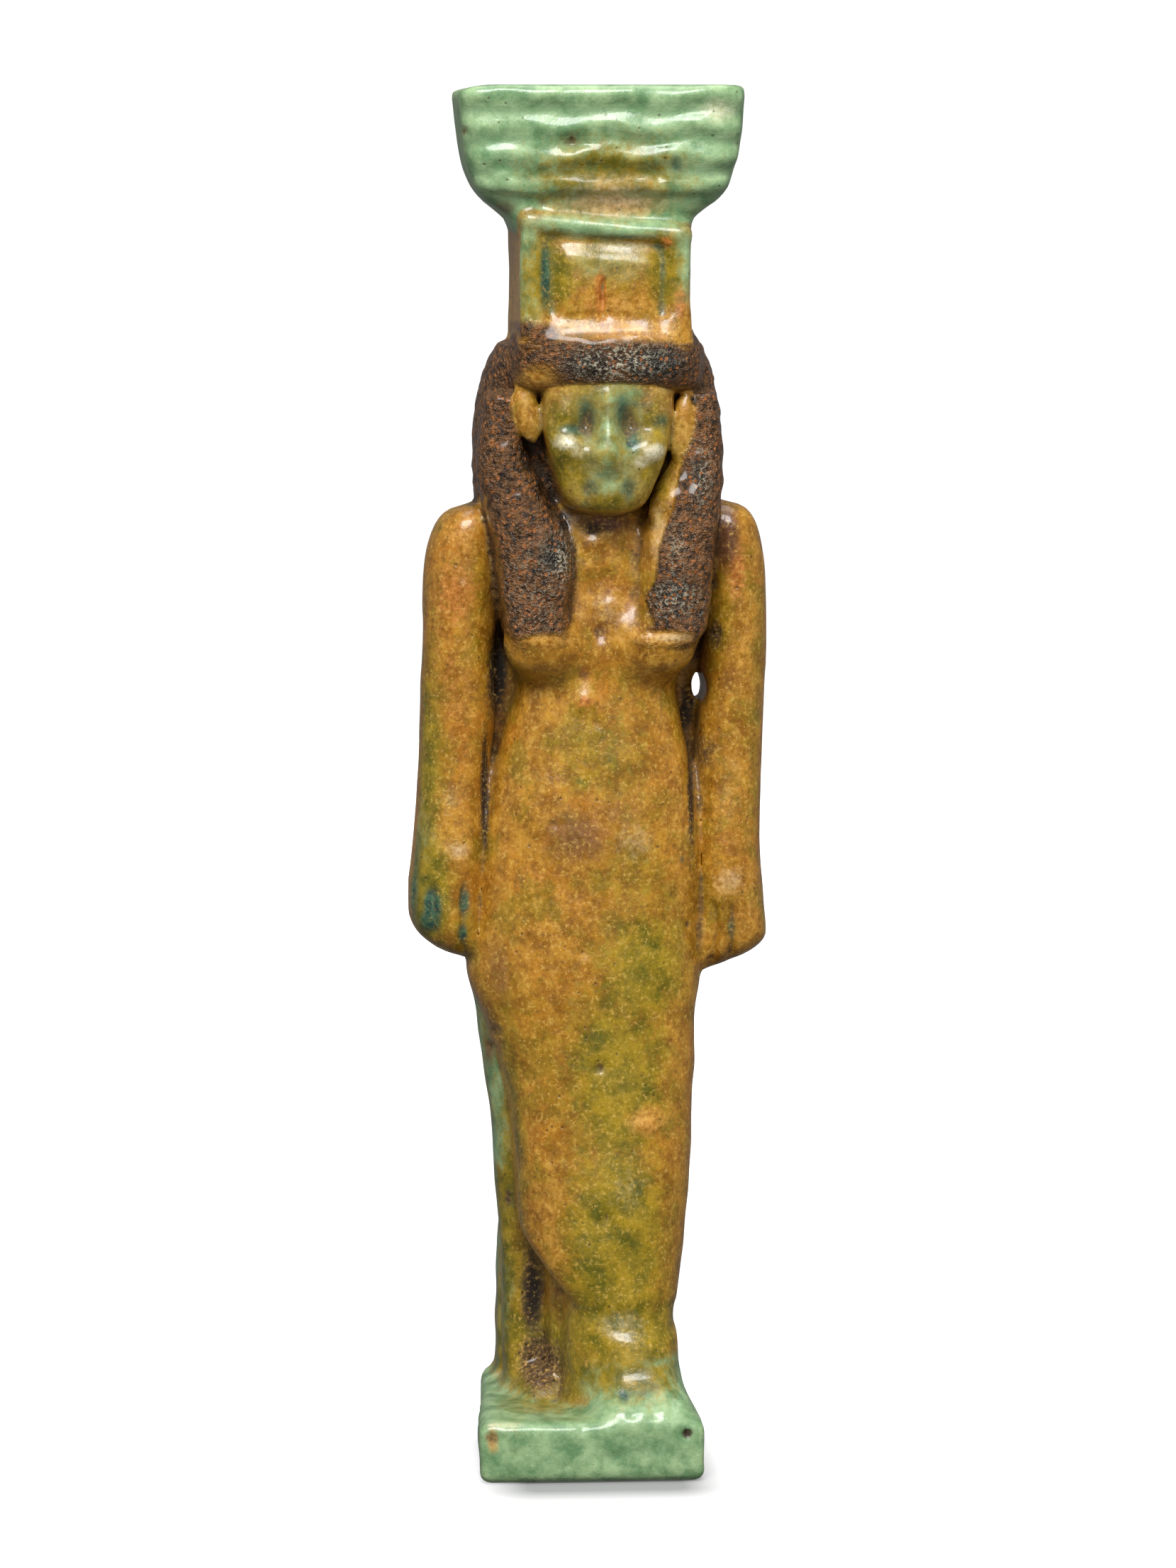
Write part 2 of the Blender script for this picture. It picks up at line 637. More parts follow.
# %% The grid
# in mm: the grid's cell, how far a form reaches past its box, and the distance where nothing is near
STEP = 0.2
REACH = 1.5
FAR = 2.0
grid_low, grid_high = (-10.0, -8.6, -0.8), (10.6, 8.0, 70.8)
axes = [np.arange(low, high, STEP) for low, high in zip(grid_low, grid_high)]
field = np.full([len(axis) for axis in axes], FAR, np.float32)
for (distance, (low, high)), fillet in FORMS.values():
    spans = [
        slice(*np.searchsorted(axis, (start - REACH, end + REACH)))
        for axis, start, end in zip(axes, low, high)
    ]
    x, y, z = np.meshgrid(*(axis[span] for axis, span in zip(axes, spans)), indexing="ij", sparse=True)
    part = field[tuple(spans)]
    part[...] = join(part, np.minimum(distance(x, y, z), FAR), fillet)

# %% The piercing beside her left arm
PIERCING = on_axis(6.05, 0, 36.3)
PIERCING_HALF_WIDTH = 0.26
PIERCING_HALF_HEIGHT = 0.68
x, y, z = np.meshgrid(*axes, indexing="ij", sparse=True)
aside, above = (x - PIERCING[0]) / PIERCING_HALF_WIDTH, (z - PIERCING[2]) / PIERCING_HALF_HEIGHT
hole = (np.hypot(aside, above) - 1) * PIERCING_HALF_WIDTH
field = meet(field, np.broadcast_to(-hole, field.shape), 0.25).astype(np.float32)
volume = openvdb.FloatGrid(background=FAR)
volume.copyFromArray(field)
points, _, quads = volume.convertToPolygons(isovalue=0.0, adaptivity=0.0)
points = points * STEP + np.array(grid_low)
print("grid cells:", field.size, " raw faces:", len(quads))

# %% [markdown]
# ## Carving
# The finer relief is moved in along the surface's own direction: the ribs of the basket, the face, the
# lines between fingers and toes, the pits where bubbles burst in the glaze, and the unevenness of a
# hand-pressed body. The faces are then thinned where the surface is flat, so that the carving keeps the
# finest ones.


# %% Helpers for carving
def hill(value, centre, spread):
    """1 at the centre, fading to nothing about two spreads away."""
    return np.exp(-(((value - centre) / spread) ** 2))


def ramp(value, start, end):
    """0 before the start, 1 past the end, and smooth between them."""
    t = np.clip((value - start) / (end - start), 0, 1)
    return t * t * (3 - 2 * t)


def cloud(points, size, seed):
    """Smooth random values from -1 to 1 that change over about that many millimetres."""
    lattice = np.random.default_rng(seed).uniform(-1, 1, (32, 32, 64))
    place = points / size + 11.3
    base = np.floor(place).astype(int)
    t = place - base
    t = t * t * (3 - 2 * t)
    total = np.zeros(len(points))
    for corner in np.ndindex(2, 2, 2):
        cell = (base + corner) % lattice.shape
        total += np.prod(np.where(corner, t, 1 - t), axis=1) * lattice[tuple(cell.T)]
    return total


def arrays(mesh):
    """Its points in millimetres and its normals."""
    places = np.empty(len(mesh.vertices) * 3)
    normals = np.empty(len(mesh.vertices) * 3)
    mesh.vertices.foreach_get("co", places)
    mesh.vertex_normals.foreach_get("vector", normals)
    return places.reshape(-1, 3) / MM, normals.reshape(-1, 3)


# %% Ribs of the basket
RIB_PITCH = 1.52
RIB_HEIGHT = 0.13
# where one rib arches over a bump: (x, z)
BUMP = (4.3, 66.2)


def rib_wave(x, z):
    """1 on a rib and -1 in a groove. The ribs hang in shallow loops, and one arches over a bump."""
    loops = 0.2 * np.abs(np.sin(0.78 * (x + 1.8) + 0.9 * np.floor((CROWN_TOP - z) / 1.5)))
    arch = 0.25 * hill(x, BUMP[0], 0.7) * hill(z, BUMP[1] + 0.2, 0.8)
    wander = 0.08 * np.sin(1.3 * x + 0.6) - loops + arch
    return np.cos(2 * math.pi * (CROWN_TOP - z + wander - 0.4) / RIB_PITCH)


def basket_relief(x, y, z, front):
    near = front * ramp(z, 63.9, 64.6) * ramp(y, -2.2, -3.6)
    bump = 0.16 * hill(x, BUMP[0], 0.45) * hill(z, BUMP[1], 0.55)
    even = 0.55 + 0.4 * ramp(x, -5.5, -1.5) + 0.25 * np.sin(1.7 * x + 0.8 * z)
    return near * (RIB_HEIGHT * rib_wave(x, z) * even + bump)


print("rib pitch in mm:", RIB_PITCH)


# %% Front of the house
def house_relief(x, z):
    """A rolled lintel, a groove under it, and a panel that swells between two troughs."""
    level = z + LINTEL_SLOPE * (x - HOUSE_MIDDLE)
    inside = ramp(x, -2.7, -2.3) * (1 - ramp(x, 3.6, 4.1))
    lintel = 0.2 * hill(level, 62.95, 0.4) - 0.14 * hill(level, 62.2, 0.22) * inside
    swell = 0.46 * ramp(x, -2.0, -0.9) * (1 - ramp(x, 2.9, 3.7)) * (1 - ramp(level, 61.2, 62.5))
    door = 0.12 * hill(x, 0.55, 0.2) * hill(z, 59.8, 1.0)
    return lintel + swell - door


# %% The face: plain proportions, softened as the glaze softens them
FACE_MIDDLE = 0.95


def face_relief(x, z):
    side = np.abs(x - FACE_MIDDLE)
    nose_share = np.clip((55.1 - z) / 3.7, 0, 1)
    nose = (0.1 + 0.55 * nose_share) * hill(side, 0, 0.4 + 0.62 * nose_share) * ramp(z, 50.4, 51.9)
    sockets = 0.8 * hill(side, 1.15, 0.75) * hill(z, 53.45, 0.8)
    sockets += 0.3 * hill(side, 1.0, 0.5) * hill(z, 52.6, 0.6)
    eyes = 0.24 * hill(side, 1.7, 0.8) * hill(z, 53.7, 0.55)
    creases = 0.16 * hill(side, 1.75, 0.8) * hill(z, 52.95, 0.25)
    cheeks = 0.42 * hill(side, 1.95, 0.85) * hill(z, 52.0, 0.75)
    muzzle = 0.28 * hill(side, 0, 1.1) * hill(z, 50.2, 1.1)
    corners = 0.2 * hill(side, 1.05, 0.35) * hill(z, 49.9, 0.5)
    return nose - sockets + eyes - creases + cheeks + muzzle - corners


# %% Hands and toes
FINGER_DEPTH = 0.32
TOE_DEPTH = 0.13
# line between two fingers: (x, lower end, upper end)
FINGER_LINES = [(-7.75, 27.3, 29.3), (-6.15, 26.4, 29.4), (6.5, 25.6, 28.3), (7.5, 25.9, 28.2)]
TOE_GAPS = [2.0, 3.1, 4.1]


def limb_relief(x, y, z):
    total = np.zeros(len(x))
    for line, low, high in FINGER_LINES:
        length = ramp(z, low - 0.6, low) * (1 - ramp(z, high, high + 0.8))
        total -= FINGER_DEPTH * hill(x, line, 0.26) * length
    for gap in TOE_GAPS:
        on_toes = ramp(y, -6.0, -6.6) * ramp(z, 3.15, 3.4) * (1 - ramp(z, 4.4, 5))
        total -= TOE_DEPTH * hill(x, gap, 0.25) * on_toes
    return total


print("lines on the hands:", len(FINGER_LINES), " gaps between toes:", len(TOE_GAPS))


# %% Pits and grains
# burst bubbles and chips: (x, z, radius, depth), and a grain that stands up has a depth below zero
PITS = [
    (-0.9, 67.2, 0.42, 0.26), (-6.2, 67.7, 0.25, 0.16), (-5.0, 65.3, 0.2, 0.12), (-2.3, 64.1, 0.26, 0.16),
    (3.5, 65.4, 0.18, 0.14), (3.9, 62.2, 0.24, -0.12), (0.6, 60.4, 0.24, -0.1), (-1.2, 53.3, 0.14, 0.1),
    (1.1, 45.5, 0.2, 0.1), (1.1, 44.6, 0.34, 0.14), (0.65, 42.6, 0.45, 0.2), (-0.1, 40.4, 0.4, 0.14),
    (-0.1, 39.1, 0.55, -0.2), (0.3, 47.7, 0.4, 0.22), (3.1, 43.6, 0.2, 0.16), (-1.0, 42.3, 0.2, 0.12),
    (6.4, 44.9, 0.32, 0.16), (6.7, 42.4, 0.3, 0.14), (-3.4, 43.5, 0.2, 0.1), (0.5, 38.0, 0.22, 0.14),
    (-1.6, 32.9, 0.22, 0.12), (-0.2, 26.4, 0.22, 0.14), (5.2, 27.6, 0.2, 0.16), (0.6, 20.6, 0.28, 0.2),
    (-4.6, 22.2, 0.3, 0.2), (-4.7, 21.2, 0.25, 0.16), (7.6, 30.6, 0.2, 0.12), (2.9, 17.4, 0.6, -0.08),
    (0.9, 13.1, 0.16, 0.16), (0.8, 12.8, 0.3, 0.08), (1.5, 9.1, 0.14, 0.12), (1.6, 4.2, 0.28, 0.14),
    (4.75, 2.5, 0.27, 0.26), (-4.1, 1.5, 0.2, 0.12), (-2.6, 0.6, 0.12, 0.1), (-0.5, 2.8, 0.16, 0.08),
    (-5.1, 2.4, 0.4, 0.16), (0.1, 1.3, 0.2, 0.06), (0.8, 1.3, 0.25, 0.06), (-1.3, 4.3, 0.2, 0.1),
]


def pit_relief(x, z):
    total = np.zeros(len(x))
    for place, height, radius, depth in PITS:
        apart = np.hypot(x - place, z - height) / radius
        total -= depth * np.exp(-(apart**3))
    return total


print("pits and grains:", len(PITS))

# %% The mesh, and how much each form owns of it
WIG_FORMS = ("cap", "roll", "right_lappet", "left_lappet")
figure = mesh_object("faience_figurine", points * MM, quads.tolist())
places, normals = arrays(figure.data)


def share(points, names, softness=0.12):
    """How much each point belongs to these forms, from 0 to 1."""
    x, y, z = points.T
    near = {name: form[0](x, y, z) for name, (form, _) in FORMS.items()}
    own = np.min([near[name] for name in names], axis=0)
    other = np.min([value for name, value in near.items() if name not in names], axis=0)
    return 1 / (1 + np.exp(np.clip((own - other) / softness, -30, 30)))


wig_share = share(places, WIG_FORMS)
print("points:", len(places), " on the wig:", int(wig_share.sum()))

# %% Carve it
x, y, z = places.T
front = np.clip(-1.6 * normals[:, 1], 0, 1)
relief = basket_relief(x, y, z, front)
relief += house_relief(x, z) * front * share(places, ("house",), 0.2) * ramp(y, -3.4, -4.0)
relief += face_relief(x, z) * front * share(places, ("face",), 0.25) * ramp(y, -3.4, -4.2)
relief += limb_relief(x, y, z) * np.maximum(front, ramp(normals[:, 2], 0.2, 0.6) * (z < 8))
relief += pit_relief(x, z) * front
relief += 0.09 * cloud(places, 3.6, 1) + 0.045 * cloud(places, 1.3, 2)
relief += wig_share * (0.07 * cloud(places, 0.7, 3) + 0.06 * cloud(places, 0.42, 4))
chest = hill(x, 1.4, 2.2) * hill(z, 44.5, 3.6) * front * (1 - wig_share)
relief += chest * (0.1 * cloud(places, 0.9, 6) + 0.05 * cloud(places, 0.5, 7))
relief *= ramp(z, 0.05, 0.9)
lowest, highest = np.divide(cad_box, MM)
carved = np.clip(places + normals * relief[:, None], lowest, highest)
figure.data.vertices.foreach_set("co", (carved * MM).ravel())
figure.data.update()
print("relief from", round(relief.min(), 2), "to", round(relief.max(), 2), "mm")

# %% Thin the faces and keep the result as a plain mesh
MOST_TRIANGLES = 192000


def settled(piece):
    """The piece as its modifiers leave it, with the modifiers gone."""
    mesh = bpy.data.meshes.new_from_object(piece.evaluated_get(bpy.context.evaluated_depsgraph_get()))
    piece.modifiers.clear()
    old, piece.data = piece.data, mesh
    bpy.data.meshes.remove(old)
    mesh.name = piece.name
    return piece


thin = figure.modifiers.new("thin", "DECIMATE")
thin.ratio = MOST_TRIANGLES / (2 * len(quads))
settled(figure)
figure.data.shade_smooth()
print("triangles:", sum(len(face.vertices) - 2 for face in figure.data.polygons))

# %% [markdown]
# ## Where the glaze changes
# The glaze isn't one colour: it has run, thinned, crazed and taken up iron and soil. Each kind of change
# is an attribute of the mesh, a number from 0 to 1 at each point. Some follow the forms, such as the
# dark wig, and some are soft patches that are placed by hand, in millimetres on the front. The material
# below breaks up their edges with noise.

# %% Forms and hollows at each point
places, normals = arrays(figure.data)
x, y, z = places.T
front = ramp(-normals[:, 1], -0.05, 0.35)
edges = np.empty(len(figure.data.edges) * 2, int)
figure.data.edges.foreach_get("vertices", edges)
edges = edges.reshape(-1, 2)
degree = np.bincount(edges.ravel(), minlength=len(places))


def evened(values, rounds):
    """Each value blended with its neighbours' mean, that many times."""
    for _ in range(rounds):
        total = np.bincount(edges[:, 0], values[edges[:, 1]], len(places))
        total += np.bincount(edges[:, 1], values[edges[:, 0]], len(places))
        values = (values + total / degree) / 2
    return values


mean = np.stack([evened(places[:, item], 6) for item in range(3)], axis=1)
bulge = evened(np.einsum("ij,ij->i", places - mean, normals), 3)
hollow = ramp(-bulge, 0.01, 0.06)
print("points:", len(places), " bulge from", round(bulge.min(), 3), "to", round(bulge.max(), 3))


# %% Patches placed by hand
# (x, z, half width, half height, strength)
PATCHES = {
    "sea": [
        (-3.0, 60.8, 0.8, 3, 0.9), (1, 63.1, 5, 0.8, 0.9), (4.7, 61.3, 0.8, 2.4, 0.75),
        (0.9, 61.3, 3.0, 1.2, 0.5), (1.5, 54.7, 1.8, 0.8, 0.7),
        (1.0, 52.2, 4.2, 3.8, 0.52), (0.95, 52.4, 1.0, 2.8, 0.68), (1.0, 50.2, 1.4, 1.2, 0.62),
        (2.2, 4.6, 3.4, 1.2, 1), (-3.8, 3.4, 2.2, 0.9, 0.9), (-8.3, 30.5, 0.8, 5, 0.6),
    ],
    "green": [
        (1.5, 20, 3.1, 6, 0.8), (1.4, 11.5, 3.0, 6.4, 0.95),
        (1.7, 7.2, 3.8, 2.1, 1), (1.9, 5.0, 3.6, 1.2, 0.78),
        (2.8, 25.5, 2.6, 3.6, 0.8),
        (2.4, 30.5, 2.2, 3, 0.45), (0.8, 36.4, 3.2, 2.8, 0.5), (-0.4, 35, 0.9, 0.9, 0.6),
        (-2.0, 60.6, 1.8, 2.4, 0.85), (3.8, 60.8, 1.2, 2.2, 0.8),
        (0.9, 65.4, 4.4, 2.3, 0.74), (1.0, 60.4, 3.0, 1.8, 0.35),
        (1.0, 61.6, 3.2, 1.0, 0.6), (-2.9, 58.9, 1.0, 1.2, 0.6), (1.2, 64.0, 4.6, 0.9, 0.45),
        (-1.2, 51.8, 1.6, 3.4, 0.75), (3.3, 51.6, 1.3, 3.4, 0.7), (1.0, 49.2, 2.2, 0.9, 0.7),
        (1.0, 54.9, 3.0, 0.8, 0.5), (1.0, 52.0, 4.0, 3.6, 0.45),
        (-8.0, 36, 0.9, 6, 0.75),
        (-7.9, 29.5, 1.2, 3.5, 0.9), (-4.0, 14, 1.0, 10, 0.8), (-6.2, 27.6, 0.9, 1.2, 0.5),
        (7.5, 27.2, 0.4, 1.0, 0.6), (-0.6, 24, 1.6, 3, 0.2), (8.7, 38, 0.4, 7, 0.4),
    ],
    "deep": [
        (-6.6, 66.3, 0.6, 2.6, 0.3), (-2.15, 60.6, 0.3, 1.9, 0.85), (3.7, 61.0, 0.22, 1.4, 0.55),
        (4.3, 66.1, 0.35, 0.5, 0.6), (1.6, 62.45, 2.6, 0.16, 0.5),
        (-0.1, 53.5, 0.6, 1.1, 0.65), (-0.7, 52.9, 1.0, 0.35, 0.75), (1.65, 53.7, 0.55, 1.2, 0.65),
        (2.15, 52.4, 0.5, 0.8, 0.75), (3.6, 53.3, 0.7, 0.45, 0.55), (2.6, 54.15, 1.0, 0.3, 0.5),
        (0.9, 50.7, 0.9, 0.5, 0.5), (0.04, 49.95, 0.5, 0.6, 0.55), (1.95, 49.9, 0.5, 0.8, 0.55),
        (-0.1, 49.2, 0.35, 0.3, 0.45),
        (-7.75, 28.6, 0.5, 1.1, 1), (-7.9, 27.9, 0.6, 0.7, 0.9), (-6.15, 28.9, 0.34, 0.9, 0.85),
        (-6.25, 27.2, 0.28, 0.6, 0.8), (-8.75, 31, 0.4, 5, 0.7),
        (7.45, 27.5, 0.22, 0.7, 0.7), (1.65, 4.2, 0.3, 0.3, 0.9), (4.9, 31, 0.2, 0.3, 0.5),
    ],
    "bare": [
        (1.0, 64.0, 3.6, 0.8, 0.52), (1.2, 65.2, 2.4, 1.2, 0.3), (1.8, 57.75, 3.4, 0.55, 0.6),
        (-5.05, 2.3, 0.35, 0.9, 0.6), (3.0, 17.8, 1.1, 0.8, 0.75),
        (1.6, 59.0, 2.4, 0.9, 0.5), (-2.5, 55.5, 1.2, 0.75, 0.9),
        (-3.1, 53.8, 0.9, 1.8, 0.3), (4.8, 53.0, 0.8, 2.1, 0.45), (-5.1, 49.2, 0.15, 0.5, 0.9),
        (-2.3, 42.25, 1.5, 0.42, 1), (4.0, 42.4, 1.9, 0.42, 1), (-6.0, 47.5, 1.6, 1.2, 0.45),
        (7.0, 29.7, 1.1, 0.9, 0.5), (7.9, 27.6, 1.1, 2.6, 0.5), (8.2, 41, 0.8, 3.4, 0.45),
        (-6.3, 31.3, 0.8, 0.9, 0.5), (-1.7, 12, 0.8, 5, 0.4),
    ],
    "rust": [
        (1.6, 64.2, 1.4, 0.4, 0.4), (0.6, 59.7, 0.3, 1.1, 0.9), (0.6, 60.4, 0.25, 0.25, 1),
        (3.9, 62.2, 0.3, 0.25, 0.9), (-6.5, 44.6, 1.2, 1.9, 0.65), (-6.6, 40, 1.0, 3, 0.3),
        (3.2, 17.5, 0.7, 0.5, 0.35), (-0.1, 39.1, 0.5, 0.3, 0.9),
        (7.7, 45.6, 0.5, 1.6, 0.8), (4.6, 59.2, 0.5, 1.0, 0.5), (7.5, 30, 0.8, 5, 0.2),
        (0.65, 42.6, 0.5, 0.5, 0.6), (1.1, 44.7, 0.5, 0.5, 0.5), (-0.1, 40.4, 0.5, 0.4, 0.6),
    ],
    "violet": [
        (7.1, 47.4, 0.8, 1.9, 0.9), (-0.6, 32.3, 2.0, 1.6, 0.55),
        (1.2, 33.4, 2.4, 0.8, 0.35), (-4.4, 25.4, 0.7, 1.8, 0.45),
        (-2.6, 43.1, 1.3, 0.35, 0.6), (-4.8, 20.8, 0.4, 1.6, 0.5), (7.6, 36, 0.5, 3, 0.2),
        (-0.4, 44.9, 0.3, 0.4, 0.3), (5.6, 55.6, 0.6, 1.1, 0.6), (-3.4, 45.8, 0.4, 1.4, 0.3),
        (-4.4, 63.9, 1.0, 0.6, 0.5), (0.9, 48.1, 1.8, 0.6, 0.7), (2.9, 46.6, 0.5, 1.0, 0.4),
    ],
    "soil": [
        (-4.35, 39.9, 0.7, 2.4, 0.7), (5.5, 38.3, 0.4, 1.6, 0.9), (6.7, 42.3, 0.4, 0.8, 0.7),
        (-2.6, 8.4, 0.55, 2.6, 0.9), (-2.2, 4.8, 1.2, 1.4, 1), (5.4, 33.5, 0.25, 4, 0.6),
        (-5.05, 34, 0.3, 4, 0.6), (-3.8, 13.2, 0.2, 0.6, 0.8), (6.1, 36.3, 0.8, 1.2, 0.55),
    ],
    "dark": [
        (-5.7, 49.2, 0.5, 0.5, 0.8), (-4.3, 40.2, 0.55, 2.1, 1), (-3.0, 51.6, 0.4, 0.9, 0.95),
        (-2.35, 50.3, 0.35, 1.0, 0.9), (-1.75, 49.2, 0.35, 0.8, 0.9), (-1.1, 48.2, 0.45, 0.6, 0.9),
        (0.3, 47.8, 0.6, 0.4, 0.7), (3.0, 48.1, 0.6, 0.5, 0.5),
        (6.4, 44.9, 0.25, 0.25, 1), (4.75, 2.5, 0.27, 0.27, 0.9), (-1.85, 6.3, 0.3, 0.8, 0.5),
        (-2.5, 8.2, 0.55, 1.7, 0.85), (5.3, 37.9, 0.3, 0.9, 0.8), (5.35, 54.3, 0.25, 0.3, 0.9),
        (-5.05, 34.5, 0.22, 3.4, 0.85), (5.42, 34.5, 0.2, 2.8, 0.85),
    ],
    "pale": [
        (6.4, 68.7, 1.1, 0.8, 0.45), (1.8, 62.0, 1.9, 0.3, 0.4), (-4.6, 3.2, 1.5, 0.6, 0.45),
        (1.6, 7.6, 1.8, 1.0, 0.3), (1.0, 44, 1.1, 1.8, 0.25), (-1.2, 52.3, 0.7, 0.45, 0.6),
        (-0.6, 51.8, 0.5, 0.4, 0.42), (3.2, 51.8, 0.7, 0.5, 0.72), (2.6, 51.3, 0.5, 0.4, 0.55),
        (4.3, 42.4, 1.4, 0.3, 0.4), (1.2, 64.4, 3.4, 1.4, 0.36), (-6.2, 45.1, 0.3, 0.4, 0.3),
        (3.6, 47.5, 0.6, 2.6, 0.3), (7.3, 29.8, 1.1, 0.9, 0.3), (-6.4, 31.5, 0.8, 0.5, 0.35),
        (2.4, 32.0, 1.6, 1.4, 0.25), (2.0, 14.5, 1.6, 1.6, 0.22),
    ],
    "glint": [
        (1.4, 56.3, 2.2, 0.9, 1), (-1.3, 46.4, 0.7, 1.4, 0.8), (4.3, 44.3, 1.2, 0.9, 0.8),
        (5.8, 50.5, 0.5, 1.6, 0.6), (4.4, 46.8, 0.5, 1.4, 0.5), (-2.6, 45.0, 1.4, 2.4, 0.3),
    ],
    "black": [
        (3.2, 56.2, 1.9, 0.9, 0.9), (0.0, 56.1, 1.8, 0.9, 0.7), (-1.5, 46.6, 1.0, 1.1, 0.9),
        (4.3, 44.6, 1.2, 0.9, 0.7), (5.6, 50.3, 0.6, 1.6, 0.6), (-0.6, 57.6, 1.2, 0.3, 0.5),
    ],
}
print("patches:", sum(len(spots) for spots in PATCHES.values()))

# %% Where the dark crust ends
# the edge of the crust on the left lappet: heights, and the x at each
CRUST_HEIGHTS = (43.4, 44.4, 45.35, 46.9, 47.9, 48.9, 51.3, 52.5)
CRUST_EDGE = (3.3, 2.9, 3.43, 3.6, 3.93, 4.31, 4.77, 3.0)
# crust that has run past the wig
CRUST_RUNS = [(5.75, 42.3, 0.5, 1.3, 1), (-2.3, 57.6, 0.9, 0.6, 1), (-3.1, 57.9, 0.6, 0.5, 0.8)]


def patches(spots):
    """The strongest of these soft patches at each point."""
    total = np.zeros(len(places))
    for place, height, wide, tall, strength in spots:
        apart = ((x - place) / wide) ** 2 + ((z - height) / tall) ** 2
        total = np.maximum(total, strength * np.exp(-(apart**1.2)))
    return total


print("crust runs:", len(CRUST_RUNS))

# %% Shares of the forms, and the patches on the front
DEEP_PIT = 0.15
basket_share = share(places, ("basket",))
house_share = share(places, ("house",))
wig_share = share(places, WIG_FORMS)
foot_share = share(places, ("plinth", "front_foot"), 0.3)
back_share = share(places, ("pillar", "calf"))
groove = ramp(-rib_wave(x, z), 0.0, 1.0) * basket_share * front
near_front = 1 - ramp(y, 2.4, 3.4)
masks = {name: patches(spots) * front for name, spots in PATCHES.items()}
for name in ("dark", "soil"):
    masks[name] = patches(PATCHES[name]) * near_front
for place, height, radius, depth in PITS:
    if depth > DEEP_PIT:
        filled = patches([(place, height, radius, radius, 0.6)]) * front
        masks["soil"] = np.maximum(masks["soil"], filled)
masks["bare"] = np.maximum(masks["bare"], 0.6 * house_share * (1 - front) * (x < 0))
bare = masks["bare"]
print("bare points:", int(bare.sum()))

# %% Sea-green on the crown, the foot and the plinth
# the foot that is set back stands in earth: its patch, and the olive skirt of glaze round it
BACK_FOOT = (-2.2, 5.4, 1.5, 1.7, 1)
SKIRT = (-2.2, 5.2, 2.8, 2.6, 1)
masks["sea"] = np.maximum(basket_share * (1 - 0.8 * bare), masks["sea"])
foot_share *= 1 - ramp(z, 5.3, 6.6)
masks["sea"] = np.maximum.reduce([masks["sea"], foot_share, 0.35 * house_share * (1 - front)])
masks["sea"] *= 1 - 0.95 * patches([BACK_FOOT]) * ramp(y, -5.6, -3.2)
masks["deep"] = np.maximum.reduce([masks["deep"], 0.3 * groove, 0.5 * hollow * house_share])
skirt = patches([SKIRT]) * ramp(y, -6.6, -3.6)
masks["green"] = np.maximum.reduce([masks["green"], skirt, 0.6 * back_share])
print("sea-green points:", int(masks["sea"].sum()))

# %% The pillar: olive, with sea-green where the glaze ran down its edges
broken = 0.7 * cloud(places, 2.3, 12) + 0.5 * cloud(places, 1.1, 13)
run_down = cloud(places * (1, 1, 0.6), 4.3, 8) + broken - 0.02 * (z - 20)
washed = np.maximum(ramp(np.abs(x) + 0.8 * broken, 2.9, 4.3), ramp(run_down, 0.0, 0.9))
masks["sea"] = np.maximum(masks["sea"], 0.9 * back_share * washed)
masks["green"] *= 1 - 0.7 * back_share * ramp(cloud(places, 3.6, 9) + broken, -0.2, 0.8)
print("olive points:", int(masks["green"].sum()))

# %% The crust of the wig
crust = wig_share * (1 - 0.95 * bare)
strip = front * ramp(x, 1.8, 2.2) * ramp(z, 42.8, 43.2) * (1 - ramp(z, 52.2, 52.6))
crust *= 1 - strip * (1 - ramp(x - np.interp(z, CRUST_HEIGHTS, CRUST_EDGE), -0.2, 0.2))
below_house = (1 - ramp(z, 57.0, 57.4)) * share(places, ("house", "ledge"), 0.2)
masks["wig"] = np.maximum.reduce([crust, patches(CRUST_RUNS) * near_front, below_house])
print("crust points:", int(masks["wig"].sum()))

# %% Soil in the hollows, and the attributes
hollow *= 1 - basket_share - house_share
masks["soil"] = np.maximum(masks["soil"], 0.5 * hollow)
masks["hollow"] = hollow
for name, values in masks.items():
    layer = figure.data.attributes.new(name, "FLOAT", "POINT")
    layer.data.foreach_set("value", np.clip(values, 0, 1).astype(np.float32))
print("attributes:", ", ".join(masks))

# %% [markdown]
# ## Glazed faience
# Faience is a quartz paste under an alkaline glaze, fired at about 900 degrees. The glaze is glossy and
# a little clear, so the eye sees soft mottling under a sharp, wavy reflection, pinholes where bubbles
# burst, and sandy quartz grains where it is thin. The wig was coloured with manganese, which fired to a
# dark and gritty crust.
#
# The base is ochre. Each layer over it has two shades of its own, and its attribute is roughened by
# noise, so that it breaks up like a stain and not like paint. In a Map Range node, inputs 1 and 2 are
# the range that it reads, and 3 and 4 the range that it gives. In a Mix node, input 0 is the amount, and
# 6 and 7 the colours.

# %% The finish: noise at the scales of the real surface
glaze = bpy.data.materials.new("glazed_faience")
glaze.use_nodes = True
tree = glaze.node_tree
shader = tree.nodes["Principled BSDF"]
coordinates = add(tree, "ShaderNodeTexCoord")
in_mm = add(
    tree, "ShaderNodeVectorMath", {0: coordinates.outputs["Object"], 1: (1 / MM,) * 3}, operation="MULTIPLY"
)

